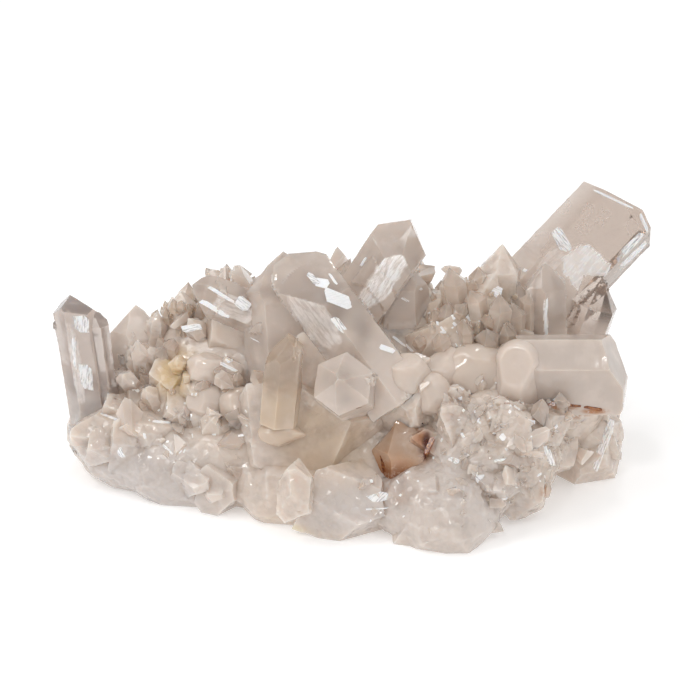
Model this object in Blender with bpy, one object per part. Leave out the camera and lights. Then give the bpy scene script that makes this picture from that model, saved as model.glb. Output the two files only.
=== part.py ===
"""Quartz crystal cluster: a milky base, cut flat underneath, with clear crystals standing out of it.

Run it with: blender --background --python part.py

The tables are in millimetres and the scene is in metres. +Z is up, +X is to the right, and the show side faces -Y.
A crystal grows from its foot, on the base's surface, to its tip. Its azimuths turn about that axis: 0 degrees is
its front, the side nearest to -Y, and 90 degrees is its right.
"""

import math
import random

import bmesh
import bpy
from mathutils import Matrix, Vector, noise
from mathutils.bvhtree import BVHTree

MM = 0.001

# Quartz's own shape: six prism faces, and six tip faces tilted this far from square to the axis.
SIDES = 6
SIDE_TURN = math.radians(360 / SIDES)
TIP_TILT = math.radians(51.8)

# How a crystal meets the base: how far its root runs in past its foot, and the gap around it there.
ROOT_DEPTH = 5.0
SEAT_GAP = 0.3

# The base's rounded lumps: centre and half-sizes.
LUMPS = [
    ((0, 8, 8), (60, 33, 20)),
    ((12, 16, 22), (46, 24, 21)),
    ((-30, 10, 24), (24, 17, 18)),
    ((-53, 2, 9), (19.5, 18, 14)),
    ((-34, -9, 7), (25, 14, 13)),
    ((-8, -17, 6), (22, 15, 12)),
    ((35, -16, 14), (18, 17, 17)),
    ((22, -29.5, 6), (15, 14.5, 11)),
    ((46, 0, 20), (20, 16, 15)),
    ((60, 6, 10), (11, 12, 10)),
]
LUMP_ROUGHNESS = 2.2
LUMP_WAVE = 11.0
SKIN_VOXEL = 2.6
SKIN_FACES_KEPT = 0.14

# Angular blocks of the base: centre, half-sizes, number of broken faces and seed.
BLOCKS = [
    ((-1.5, -29.5, 6), (13, 10, 11.5), 13, 3),
    ((-12.5, -36, 13), (5, 5, 8), 11, 5),
    ((-11, -15, 13), (20, 12, 20), 10, 8),
    ((15, -14, 27), (9, 8, 9.5), 12, 19),
    ((-4, -8, 24), (14, 12, 21), 11, 18),
    ((20, -34, 4), (10, 9, 8), 12, 9),
    ((-29, 5, 33.5), (11, 7, 11), 11, 10),
    ((30, -2, 36), (16, 9, 11), 12, 11),
    ((61.5, 1, 6), (9.5, 11, 14), 13, 12),
]
BLOCK_FLATNESS = (0.72, 0.92)

# Patches of broken quartz: middle, reach, number of blocks, least and greatest half-size, and seed.
RUBBLE_FACES = 12
RUBBLE = [
    ((-49, -5, 14), 16, 11, (5, 9), 11),
    ((-36, -19, 10), 8, 5, (4, 7), 12),
    ((36, -18, 19), 14, 15, (5, 9), 13),
    ((52, -2, 20), 11, 6, (5, 8), 14),
    ((-36, 30, 12), 16, 5, (8, 13), 15),
    ((0, 40, 12), 16, 5, (8, 13), 16),
    ((36, 32, 12), 16, 5, (8, 13), 17),
]

# Patches of druse: middle, reach, the way its crystals point, how far they stray from it, how many there are,
# their least and greatest width and length, and seed.
DRUSE = [
    ((-38, -6, 26), 14, (-0.1, -0.5, 0.8), 0.6, 17, (4, 8), (5, 9), 1),
    ((-52, 3, 23), 11, (-0.1, -0.3, 0.9), 0.5, 10, (3.5, 6), (6, 11), 2),
    ((32, -2, 39), 12, (0.0, -0.2, 1.0), 0.35, 15, (3.5, 7), (6, 9), 3),
    ((20, -12, 30), 10, (0.1, -0.5, 0.8), 0.6, 10, (4, 7), (4, 8), 4),
    ((-62, 16, 18), 12, (-0.5, 0.5, 0.7), 0.5, 7, (5, 8), (7, 13), 6),
    ((-32, 28, 26), 15, (0.0, 0.6, 0.7), 0.55, 8, (6, 10), (7, 13), 5),
    ((4, 36, 28), 15, (0.0, 0.6, 0.7), 0.55, 8, (6, 11), (7, 13), 7),
    ((36, 30, 24), 15, (0.2, 0.6, 0.7), 0.55, 8, (6, 10), (7, 13), 8),
    ((6, 22, 44), 18, (0.0, 0.5, 0.8), 0.45, 14, (6, 11), (5, 9), 9),
    ((-30, 20, 38), 11, (-0.2, 0.3, 0.9), 0.45, 5, (6, 10), (6, 10), 10),
]
DRUSE_UPRIGHT = 0.4
DRUSE_SUNK = 0.3
LOWEST_SPOT = 3.0

# Crystals fused to the base: those along its ridge, the stubby one at its right foot, and those at its back.
FUSED = [
    dict(foot=(-50, 8, 32), tip=(-49, 9, 41), width=4.6),
    dict(foot=(-44.5, 10, 35.5), tip=(-45.5, 11, 44.5), width=4.6),
    dict(foot=(-42, 8, 36.5), tip=(-43, 9, 47), width=5.5),
    dict(foot=(-27.5, 10, 42), tip=(-26.5, 10, 50.5), width=4),
    dict(foot=(27.5, 4, 44), tip=(25.5, 6, 54.5), width=6.5, roll=20),
    dict(foot=(30, 2, 40), tip=(37, 4, 54.5), width=13, roll=10),
    dict(foot=(37.5, 8, 44), tip=(38.5, 9, 59.5), width=10, roll=15),
    dict(foot=(35.5, -2, 40), tip=(35.5, 0, 50), width=6),
    dict(foot=(29, -3, 39.5), tip=(29, 1, 48.5), width=6.5),
    dict(foot=(24, 0, 36), tip=(21.5, 1, 45.5), width=3.6),
    dict(foot=(26, 0, 36), tip=(23.5, 2, 44), width=3.6),
    dict(foot=(56, 3, 15), tip=(68.7, -6, 7), width=15, roll=15, tips=(0.2, 0.1, 0.2, 0.3, 0.1, 0.3)),
    dict(foot=(-34, 22, 26), tip=(-43, 38, 34), width=13, roll=10, tips=(0.2, 0, 0.3, 0.1, 0.3, 0)),
    dict(foot=(-12, 30, 26), tip=(-15, 47, 40), width=15, roll=40, tips=(0, 0.3, 0.1, 0.4, 0, 0.2)),
    dict(foot=(12, 30, 27), tip=(19, 46, 38), width=11, roll=25, tips=(0.2, 0, 0.3, 0.1, 0.3, 0)),
    dict(foot=(34, 28, 22), tip=(42, 45, 30), width=14, roll=0, tips=(0, 0.3, 0.1, 0.4, 0, 0.2)),
    dict(foot=(54, 20, 14), tip=(68, 30, 22), width=12, roll=30, tips=(0.2, 0, 0.3, 0.1, 0.3, 0)),
]

# The finishes: colour, roughness, and how much light goes through.
MILKY = ((0.62, 0.55, 0.49), 0.45, 0.2)
CLEAR = ((0.70, 0.65, 0.61), 0.08, 0.9)
CLOUDY = ((0.64, 0.57, 0.52), 0.2, 0.5)
RUSTY = ((0.33, 0.19, 0.09), 0.35, 0.4)

# The crystals that stand in sockets in the base. Those listed together grew through each other.
CRYSTALS = {
    "tall_right_crystals": (CLEAR, [
        dict(
            foot=(47.5, 20, 38.5), tip=(72, 32, 61.1), width=21.2, roll=-12, root=9,
            sides=(0.75, 1, 1, 0.75, 1, 1), caps=[(-90, 17, 0.8), (90, 20, 1.6)],
        ),
        dict(foot=(59.5, 15, 28), tip=(65, 16.5, 46.5), width=12, roll=10, tips=(0.2, 0.2, 0.1, 0.3, 0.2, 0.2)),
    ]),
    "centre_crystals": (CLEAR, [
        dict(foot=(9, -13, 31), tip=(-11.8, -4, 57.2), width=15, roll=42, tips=(0, 1.5, 1.5, 1.5, 1.5, 1.2)),
        dict(foot=(-13.5, -10, 10), tip=(-17, 6, 58.5), width=18.5, roll=5, tips=(0, 0.2, 0.1, 0.2, 0, 0.3)),
        dict(
            foot=(-0.5, 5, 40), tip=(15.4, 9, 64.6), width=13.8, roll=10,
            caps=[(85, 34, 0.5), (-35, 52, 0.5), (40, 50, 0.5), (-110, 42, 2)],
        ),
        dict(foot=(13, 8, 32), tip=(12.5, 15, 54), width=13.5, roll=0, tips=(0, 0.2, 0, 0.3, 0.1, 0.2)),
        dict(foot=(0, -16, 31), tip=(-2.5, -30, 40.5), width=13.5, roll=10, tips=(0.3, 0.4, 0.3, 0.4, 0.3, 0.4)),
        dict(foot=(-24, 2, 43.8), tip=(-39, 2, 50.3), width=9.2, roll=15, tips=(0, 0.3, 0.8, 0.3, 0.1, 0.2)),
    ]),
    "left_end_crystals": (CLEAR, [
        dict(
            foot=(-66, 0, 12), tip=(-69.5, 3, 46), width=9.5, roll=12,
            caps=[(-90, 35, 2), (60, 22, 0), (120, 45, 2)],
        ),
        dict(foot=(-62.5, 0, 16), tip=(-64.5, 3, 43.5), width=6, roll=0, tips=(0.2, 0.1, 0.5, 0.3, 0.1, 0.2)),
    ]),
    "left_block_crystal": (CLOUDY, [
        dict(foot=(-57, 9, 17), tip=(-55.3, 13.5, 40.8), width=12, roll=25, tips=(0, 0.3, 0.1, 0.3, 0, 0.2)),
    ]),
    "pointed_right_crystals": (CLEAR, [
        dict(foot=(50.5, 3, 33.5), tip=(49, 6, 55.7), root=3, width=10, roll=25, tips=(0, 0.2, 0, 0.3, 0, 0.2)),
        dict(foot=(43, 4, 34), tip=(42.5, 7, 49.5), width=5.5, roll=0, tips=(0, 0.2, 0.1, 0.3, 0, 0.2)),
    ]),
    "right_slab_crystal": (CLOUDY, [
        dict(
            foot=(46, -11.5, 33), tip=(67.5, -11.5, 33), width=19.5, roll=15,
            sides=(0.7, 1, 1, 0.7, 1, 1), caps=[(-65, 32, 1), (0, 15, 1.5), (180, 30, 2), (80, 20, 3)],
        ),
    ]),
    "small_upright_crystal": (CLOUDY, [
        dict(
            foot=(-17, -20, 29), tip=(-15.5, -18, 44.5), width=8.5, roll=20,
            caps=[(-80, 48, 0), (75, 20, 1), (-10, 50, 2)],
        ),
    ]),
    "stained_crystal": (RUSTY, [
        dict(foot=(14, -21, 8), tip=(13, -19, 25), root=3, width=13.5, roll=5, tips=(0, 0.2, 0.1, 0.2, 0, 0.2)),
    ]),
}


def clear_scene():
    for old in list(bpy.data.objects):
        bpy.data.objects.remove(old)


def quartz(name, colour, roughness, clearness):
    material = bpy.data.materials.new(name)
    material.use_nodes = True
    shader = material.node_tree.nodes["Principled BSDF"]
    shader.inputs["Base Color"].default_value = (*colour, 1)
    shader.inputs["Roughness"].default_value = roughness
    shader.inputs["Metallic"].default_value = 0
    shader.inputs["IOR"].default_value = 1.544
    shader.inputs["Transmission Weight"].default_value = clearness
    return material


def object_from(name, bm):
    """A new object with its faces turned outwards."""
    mesh = bpy.data.meshes.new(name)
    bmesh.ops.recalc_face_normals(bm, faces=bm.faces)
    if bm.calc_volume(signed=True) < 0:
        bmesh.ops.reverse_faces(bm, faces=bm.faces)
    bm.to_mesh(mesh)
    bm.free()
    made = bpy.data.objects.new(name, mesh)
    bpy.context.scene.collection.objects.link(made)
    return made


def gathered(name, parts):
    """One object from several closed shapes, each still a body of its own."""
    whole = bmesh.new()
    for part in parts:
        held = bpy.data.meshes.new("held")
        part.to_mesh(held)
        part.free()
        whole.from_mesh(held)
        bpy.data.meshes.remove(held)
    return object_from(name, whole)


def cutter(name, parts):
    made = gathered(name, parts)
    made.hide_render = True
    made.display_type = "WIRE"
    return made


def apply_modifiers(obj):
    graph = bpy.context.evaluated_depsgraph_get()
    finished = bpy.data.meshes.new_from_object(obj.evaluated_get(graph))
    obj.modifiers.clear()
    obj.data = finished


def combine(obj, parts, operation):
    """Join closed shapes to an object, or cut them out of it. The shapes may run through each other."""
    tool = cutter("tool", parts)
    boolean = obj.modifiers.new(operation.title(), "BOOLEAN")
    boolean.operation = operation
    boolean.solver = "EXACT"
    boolean.use_self = len(parts) > 1
    boolean.object = tool
    apply_modifiers(obj)
    bpy.data.objects.remove(tool)


def clipped_block(reach, planes):
    """The convex solid left when every (point, outward normal) plane has trimmed a cube of that half-side."""
    bm = bmesh.new()
    bmesh.ops.create_cube(bm, size=2 * reach)
    for point, normal in planes:
        everything = bm.verts[:] + bm.edges[:] + bm.faces[:]
        cut = bmesh.ops.bisect_plane(
            bm, geom=everything, dist=1e-7, plane_co=point, plane_no=normal, clear_outer=True
        )
        rim = [part for part in cut["geom_cut"] if isinstance(part, bmesh.types.BMEdge)]
        if rim:
            bmesh.ops.edgeloop_fill(bm, edges=rim)
    bmesh.ops.remove_doubles(bm, verts=bm.verts, dist=1e-5)
    return bm


def leaning(azimuth, tilt):
    """A unit vector tilted from a crystal's axis towards an azimuth, in the crystal's own frame."""
    return Vector((math.sin(tilt) * math.cos(azimuth), math.sin(tilt) * math.sin(azimuth), math.cos(tilt)))


def crystal_frame(foot, tip):
    """The matrix that carries a crystal's own front, right and axis to its place."""
    axis = (tip - foot).normalized()
    front = Vector((0, -1, 0))
    front = (front - axis * front.dot(axis)).normalized()
    right = axis.cross(front)
    turned = Matrix((front, right, axis)).transposed().to_4x4()
    return Matrix.Translation(foot) @ turned


def crystal(
    foot, tip, width, roll=0.0, sides=(1,) * SIDES, tips=(0,) * SIDES, caps=(), root=ROOT_DEPTH, grow=0.0
):
    """One quartz crystal.

    width is across the flats. sides scales each prism face's distance from the axis, and tips lifts each tip face,
    as a share of the half-width. Caps replace the tip faces: each is an azimuth, a tilt from square, and how far
    past the tip it meets the axis. grow moves every face outwards.
    """
    foot, tip = Vector(foot) * MM, Vector(tip) * MM
    length, half, more = (tip - foot).length, width * MM / 2, grow * MM
    faces = [(math.radians(azimuth), math.radians(tilt), rise * MM) for azimuth, tilt, rise in caps]
    planes = []
    for i in range(SIDES):
        azimuth = math.radians(roll) + i * SIDE_TURN
        out = leaning(azimuth, math.pi / 2)
        planes.append((out * (half * sides[i] + more), out))
        if not caps:
            faces.append((azimuth, TIP_TILT, half * tips[i]))
    for azimuth, tilt, rise in faces:
        slope = leaning(azimuth, tilt)
        planes.append((Vector((0, 0, length + rise)) + slope * more, slope))
    down = Vector((0, 0, -1))
    planes.append((down * (root * MM + more), down))
    bm = clipped_block(2 * (length + width * MM), planes)
    bm.transform(crystal_frame(foot, tip))
    return bm


def broken_block(centre, half_sizes, faces, seed):
    """An angular lump: an ellipsoid's worth of quartz bounded by flat fracture faces, spread evenly in a spiral."""
    dice = random.Random(seed)
    golden_turn = math.pi * (3 - math.sqrt(5))
    planes = []
    for i in range(faces):
        height = 1 - 2 * (i + 0.5) / faces
        turn = i * golden_turn + dice.uniform(-0.5, 0.5)
        ring = math.sqrt(1 - height * height)
        out = Vector((ring * math.cos(turn), ring * math.sin(turn), height))
        planes.append((out * dice.uniform(*BLOCK_FLATNESS), out))
    bm = clipped_block(1.0, planes)
    sizes = Matrix.Diagonal((*[s * MM for s in half_sizes], 1))
    bm.transform(Matrix.Translation(Vector(centre) * MM) @ sizes)
    return bm


def lump(centre, half_sizes):
    """A rounded lump with a gently uneven surface."""
    bm = bmesh.new()
    bmesh.ops.create_icosphere(bm, subdivisions=4, radius=1.0)
    for vert in bm.verts:
        at = Vector([c + s * v for c, s, v in zip(centre, half_sizes, vert.co)])
        swell = noise.noise(at / LUMP_WAVE) + 0.5 * noise.noise(at / LUMP_WAVE * 2.3)
        vert.co = (at + vert.co.normalized() * swell * LUMP_ROUGHNESS) * MM
    return bm


def random_direction(dice):
    height = dice.uniform(-1, 1)
    turn = dice.uniform(0, 2 * math.pi)
    ring = math.sqrt(1 - height * height)
    return Vector((ring * math.cos(turn), ring * math.sin(turn), height))


def spots(surface, middle, reach, count, dice):
    """Points on the base, with their normals, spread through a ball."""
    found = []
    while len(found) < count:
        near = Vector(middle) + random_direction(dice) * reach * math.sqrt(dice.random())
        place, normal, _, _ = surface.find_nearest(near * MM)
        place = place / MM
        if place.z > LOWEST_SPOT:
            found.append((place, normal))
    return found


def druse(surface, middle, reach, aim, stray, count, widths, lengths, seed):
    """A patch of small crystals that point roughly the same way."""
    dice = random.Random(seed)
    grown = []
    for place, normal in spots(surface, middle, reach, count, dice):
        axis = Vector(aim) + normal * DRUSE_UPRIGHT + random_direction(dice) * stray
        axis.normalize()
        width, length = dice.uniform(*widths), dice.uniform(*lengths)
        tips = [dice.uniform(0, 0.5) for _ in range(SIDES)]
        sides = [dice.uniform(0.8, 1.1) for _ in range(SIDES)]
        foot = place - axis * width * DRUSE_SUNK
        grown.append(crystal(foot, foot + axis * length, width, dice.uniform(0, 60), sides, tips))
    return grown


def rubble(surface, middle, reach, count, sizes, seed):
    """A patch of angular blocks, each sunk almost to its middle."""
    dice = random.Random(seed)
    blocks = []
    for place, normal in spots(surface, middle, reach, count, dice):
        size = dice.uniform(*sizes)
        half_sizes = [size * dice.uniform(0.7, 1.2) for _ in range(3)]
        blocks.append(broken_block(place - normal * size * 0.45, half_sizes, RUBBLE_FACES, dice.random()))
    return blocks


def base_skin():
    """The lumps under one skin of flat faces."""
    base = gathered("crystal_base", [lump(*row) for row in LUMPS])
    skin = base.modifiers.new("One skin", "REMESH")
    skin.mode = "VOXEL"
    skin.voxel_size = SKIN_VOXEL * MM
    apply_modifiers(base)
    fewer = base.modifiers.new("Fewer faces", "DECIMATE")
    fewer.ratio = SKIN_FACES_KEPT
    apply_modifiers(base)
    return base


def below_ground(reach=200 * MM):
    bm = bmesh.new()
    bmesh.ops.create_cube(bm, size=reach)
    bm.transform(Matrix.Translation((0, 0, -reach / 2)))
    return bm


def keep_largest_body(obj):
    """Drop the chips that the sockets have cut loose."""
    bm = bmesh.new()
    bm.from_mesh(obj.data)
    unseen, largest = set(bm.verts), set()
    while unseen:
        body, edge = set(), [unseen.pop()]
        while edge:
            vert = edge.pop()
            body.add(vert)
            found = {link.other_vert(vert) for link in vert.link_edges} & unseen
            unseen -= found
            edge.extend(found)
        largest = max(largest, body, key=len)
    bmesh.ops.delete(bm, geom=[vert for vert in bm.verts if vert not in largest], context="VERTS")
    bm.to_mesh(obj.data)
    bm.free()


def build_base():
    base = base_skin()
    surface = BVHTree.FromObject(base, bpy.context.evaluated_depsgraph_get())
    growth = [broken_block(*row) for row in BLOCKS] + [crystal(**row) for row in FUSED]
    for row in DRUSE:
        growth += druse(surface, *row)
    for row in RUBBLE:
        growth += rubble(surface, *row)
    combine(base, growth, "UNION")
    combine(base, [below_ground()], "DIFFERENCE")
    return base


def build_crystals(name, members):
    made = object_from(name, crystal(**members[0]))
    if len(members) > 1:
        combine(made, [crystal(**member) for member in members[1:]], "UNION")
    return made


def centre_on_origin():
    """Move everything together, so that the origin is the middle of the whole cluster's footprint."""
    solids = [obj for obj in bpy.data.objects if not obj.hide_render]
    corners = [Vector(corner) for obj in solids for corner in obj.bound_box]
    middle_x = (min(c.x for c in corners) + max(c.x for c in corners)) / 2
    middle_y = (min(c.y for c in corners) + max(c.y for c in corners)) / 2
    for obj in solids:
        obj.data.transform(Matrix.Translation((-middle_x, -middle_y, 0)))


def main():
    clear_scene()
    base = build_base()
    for name, (finish, members) in CRYSTALS.items():
        combine(base, [crystal(**member, grow=SEAT_GAP) for member in members], "DIFFERENCE")
        made = build_crystals(name, members)
        made.data.materials.append(quartz(name, *finish))
    keep_largest_body(base)
    base.data.materials.clear()
    base.data.materials.append(quartz("crystal_base", *MILKY))
    centre_on_origin()


main()
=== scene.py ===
"""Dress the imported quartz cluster: a milky base, clear crystals, druse, broken quartz and a plain stage."""

import math
import random

import bmesh
import bpy
import numpy as np
from bpy.props import FloatProperty, FloatVectorProperty, PointerProperty
from mathutils import Matrix, Vector, noise
from mathutils.bvhtree import BVHTree


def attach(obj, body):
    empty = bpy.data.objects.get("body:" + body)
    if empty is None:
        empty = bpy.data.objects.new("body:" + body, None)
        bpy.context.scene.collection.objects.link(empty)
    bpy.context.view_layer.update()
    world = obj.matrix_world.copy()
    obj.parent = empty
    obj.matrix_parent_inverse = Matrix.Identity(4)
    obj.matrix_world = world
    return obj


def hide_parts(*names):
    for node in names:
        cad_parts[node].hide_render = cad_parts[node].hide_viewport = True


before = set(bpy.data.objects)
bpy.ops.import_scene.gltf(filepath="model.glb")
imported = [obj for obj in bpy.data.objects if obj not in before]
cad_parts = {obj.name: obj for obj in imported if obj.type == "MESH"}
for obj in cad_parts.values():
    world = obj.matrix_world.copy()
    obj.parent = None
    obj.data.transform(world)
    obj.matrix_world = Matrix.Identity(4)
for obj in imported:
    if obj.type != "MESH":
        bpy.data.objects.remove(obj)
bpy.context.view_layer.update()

bl_info = {
    "name": "Quartz Cluster",
    "version": (1, 0, 0),
    "blender": (4, 5, 0),
    "location": "3D View > Sidebar > Quartz",
    "description": "Builds a clear quartz cluster on a milky base",
    "category": "Object",
}

MM = 0.001
BODY = "root"
BASE = "crystal_base"
SIDES = 6
# Corners nearer than this, in metres, are one.
WELD = 1e-6
# Edges sharper than these stay crisp, in degrees.
BASE_CREASE, CRYSTAL_CREASE = 38, 26
# The base's fine relief: each layer's size and height, in millimetres.
BASE_RELIEF = ((1.9, 0.16), (0.8, 0.07))
# The relief fades out below this height, in millimetres.
FOOT = 1.5
# A place past a crystal's end counts as this much further from it.
PAST_END = 8
# Each patch of frosting and each painted highlight fades over this share of its size, with an edge this
# uneven.
PATCH_START, PATCH_FADE, PATCH_UNEVEN = 1.08, 0.16, 0.14

# The large crystals by node: foot, tip and width, in millimetres, and how far milk rises in each, as a
# share of its length.
CRYSTALS = {
    "tall_right_crystals": [
        ((45.5, 17.9, 38.5), (70, 29.9, 61.1), 21.2, 0.5),
        ((57.5, 12.9, 28), (63, 14.4, 46.5), 12, 0.8),
    ],
    "centre_crystals": [
        ((7, -15.1, 31), (-13.8, -6.1, 57.2), 15, 1),
        ((-15.4, -12.1, 10), (-18.9, 3.9, 58.5), 18.5, 1.5),
        ((-2.5, 2.9, 40), (13.4, 6.9, 64.6), 13.8, 0.7),
        ((11.1, 5.9, 32), (10.6, 12.9, 54), 13.5, 2.2),
        ((-1.9, -18.1, 31), (-4.5, -32.1, 40.5), 13.5, 2.4),
        ((-25.9, -0.1, 43.8), (-41, -0.1, 50.3), 9.2, 0.3),
    ],
    "left_end_crystals": [
        ((-68, -2.1, 12), (-71.5, 0.9, 46), 9.5, 0.6),
        ((-64.5, -2.1, 16), (-66.5, 0.9, 43.5), 6, 0.6),
    ],
    "left_block_crystal": [((-59, 6.9, 17), (-57.2, 11.4, 40.8), 12, 1.2)],
    "pointed_right_crystals": [
        ((48.5, 0.9, 33.5), (47, 3.9, 55.7), 10, 0.6),
        ((41, 1.9, 34), (40.5, 4.9, 49.5), 5.5, 0.6),
    ],
    "right_slab_crystal": [((44, -13.6, 33), (65.5, -13.6, 33), 19.5, 2.5)],
    "small_upright_crystal": [((-18.9, -22.1, 29), (-17.4, -20.1, 44.5), 8.5, 0.7)],
    "stained_crystal": [((12.1, -23.1, 8), (11.1, -21.1, 25), 13.5, 0.8)],
}

# Patches of frosting and painted highlights: node, member, middle, half-lengths along and across the crystal,
# the way they face and strength, where over 1 is a plain white painted highlight.
FROST_AND_HIGHLIGHTS = [
    ("tall_right_crystals", 0, (58.8, 15.4, 49.2), (5.2, 6.2), (0.1, -0.92, 0.38), 1.22),
    ("tall_right_crystals", 0, (49.4, 17, 50.6), (4, 2.2), (0.1, -0.92, 0.38), 0.5),
    ("centre_crystals", 2, (6, -2.2, 55.5), (10, 4.6), (0.22, -0.98, 0.02), 0.9),
    ("centre_crystals", 0, (-10.5, -15.2, 49.2), (8.5, 4.2), (-0.4, -0.92, 0), 0.45),
    ("centre_crystals", 5, (-33.5, -4.6, 48), (8.5, 3.4), (0.1, -0.97, 0.24), 0.45),
    ("left_end_crystals", 0, (-71, -5, 32), (10, 1.2), (-0.3, -0.95, 0), 0.55),
    ("pointed_right_crystals", 0, (47.2, -3.2, 42.5), (6, 0.4), (-0.58, -0.81, 0.07), 1.5),
]

# The looks of the large crystals: slot, name, how clear they are, how strongly their depth takes light away,
# marks, colour and roughness. A mark is a middle, a reach, its colour's name and how much of it shows.
CENTRE_MARKS = [((0.2, -29.8, 31.9), (1, 1.6, 0.5), "rust_dark", 1)]
SLAB_MARKS = [
    ((49.5, -19.5, 26.4), (7, 5, 1.3), "rust", 0.8),
    ((58.5, -19, 25.4), (4.5, 5, 1.3), "rust", 0.9),
]
RUSTY_MARKS = [
    ((9.5, -27, 11.5), (12, 9, 8), "rust", 0.85),
    ((17, -26, 19), (3.4, 5.5, 8), "rust_dark", 0.9),
    ((10.5, -28, 11.5), (8, 7, 5.5), "rust_dark", 0.6),
]
LOOKS = {
    "tall_right_crystals": ("clear_quartz", "tall", 0.9, 150, (), "milk", 0.1),
    "centre_crystals": ("clear_quartz", "centre", 0.62, 52, CENTRE_MARKS),
    "left_end_crystals": ("clear_quartz", "end", 0.7, 260, (), "pale"),
    "left_block_crystal": ("cloudy_quartz", "cloudy", 0.4, 40),
    "pointed_right_crystals": ("clear_quartz", "druse", 0.6, 14, [((48, 0, 32), (9, 9, 4), "ochre", 0.4)]),
    "right_slab_crystal": ("cloudy_quartz", "slab", 0.2, 30, SLAB_MARKS, "slab"),
    "small_upright_crystal": ("cloudy_quartz", "upright", 0.65, 30, (), "hollow"),
    "stained_crystal": ("rust_stained_quartz", "rusty", 0.2, 20, RUSTY_MARKS, "stained"),
}

# Tints of the base: colour's name, amount, grain, and its spots: middle, reach, softness and strength.
RUST_SPOTS = [((48, -20.5, 28), (6, 5, 1.6), 0.8, 1), ((46, -30, 9), (3, 4, 3), 0.8, 1)]
RUST_SPOTS += [((12, -29, 14), (6, 5, 4), 0.8, 0.5), ((57, -16, 23), (10, 7, 2), 0.8, 1)]
TINTS = [
    ("pale", 0.9, "even", [((-52, -18, 6), (34, 22, 16), 0.7, 1)]),
    ("pale", 0.7, "even", [((24, -34, 8), (26, 20, 20), 0.7, 1), ((-4, -36, 7), (18, 12, 10), 0.7, 1)]),
    # The two hollow tints are beige painted shade in the base's recesses.
    ("hollow", 0.85, "even", [((-8, -21, 18), (17, 14, 17), 0.5, 1)]),
    ("hollow", 0.4, "even", [((27, -2, 44), (26, 14, 12), 0.6, 1)]),
    ("ochre", 0.85, "cloudy", [((-46, -6.5, 30.5), (8, 10, 11), 0.8, 1)]),
    ("moss", 0.7, "even", [((-24, -40, 2), (15, 10, 3.2), 0.6, 1)]),
    ("rust", 0.8, "specks", RUST_SPOTS),
    ("rust", 0.9, "even", [((15.4, -27, 20), (4.2, 6, 6), 0.6, 1)]),
    ("rust_dark", 1, "even", [((16.8, -27, 21.2), (1.6, 5, 3), 0.7, 1)]),
]
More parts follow.
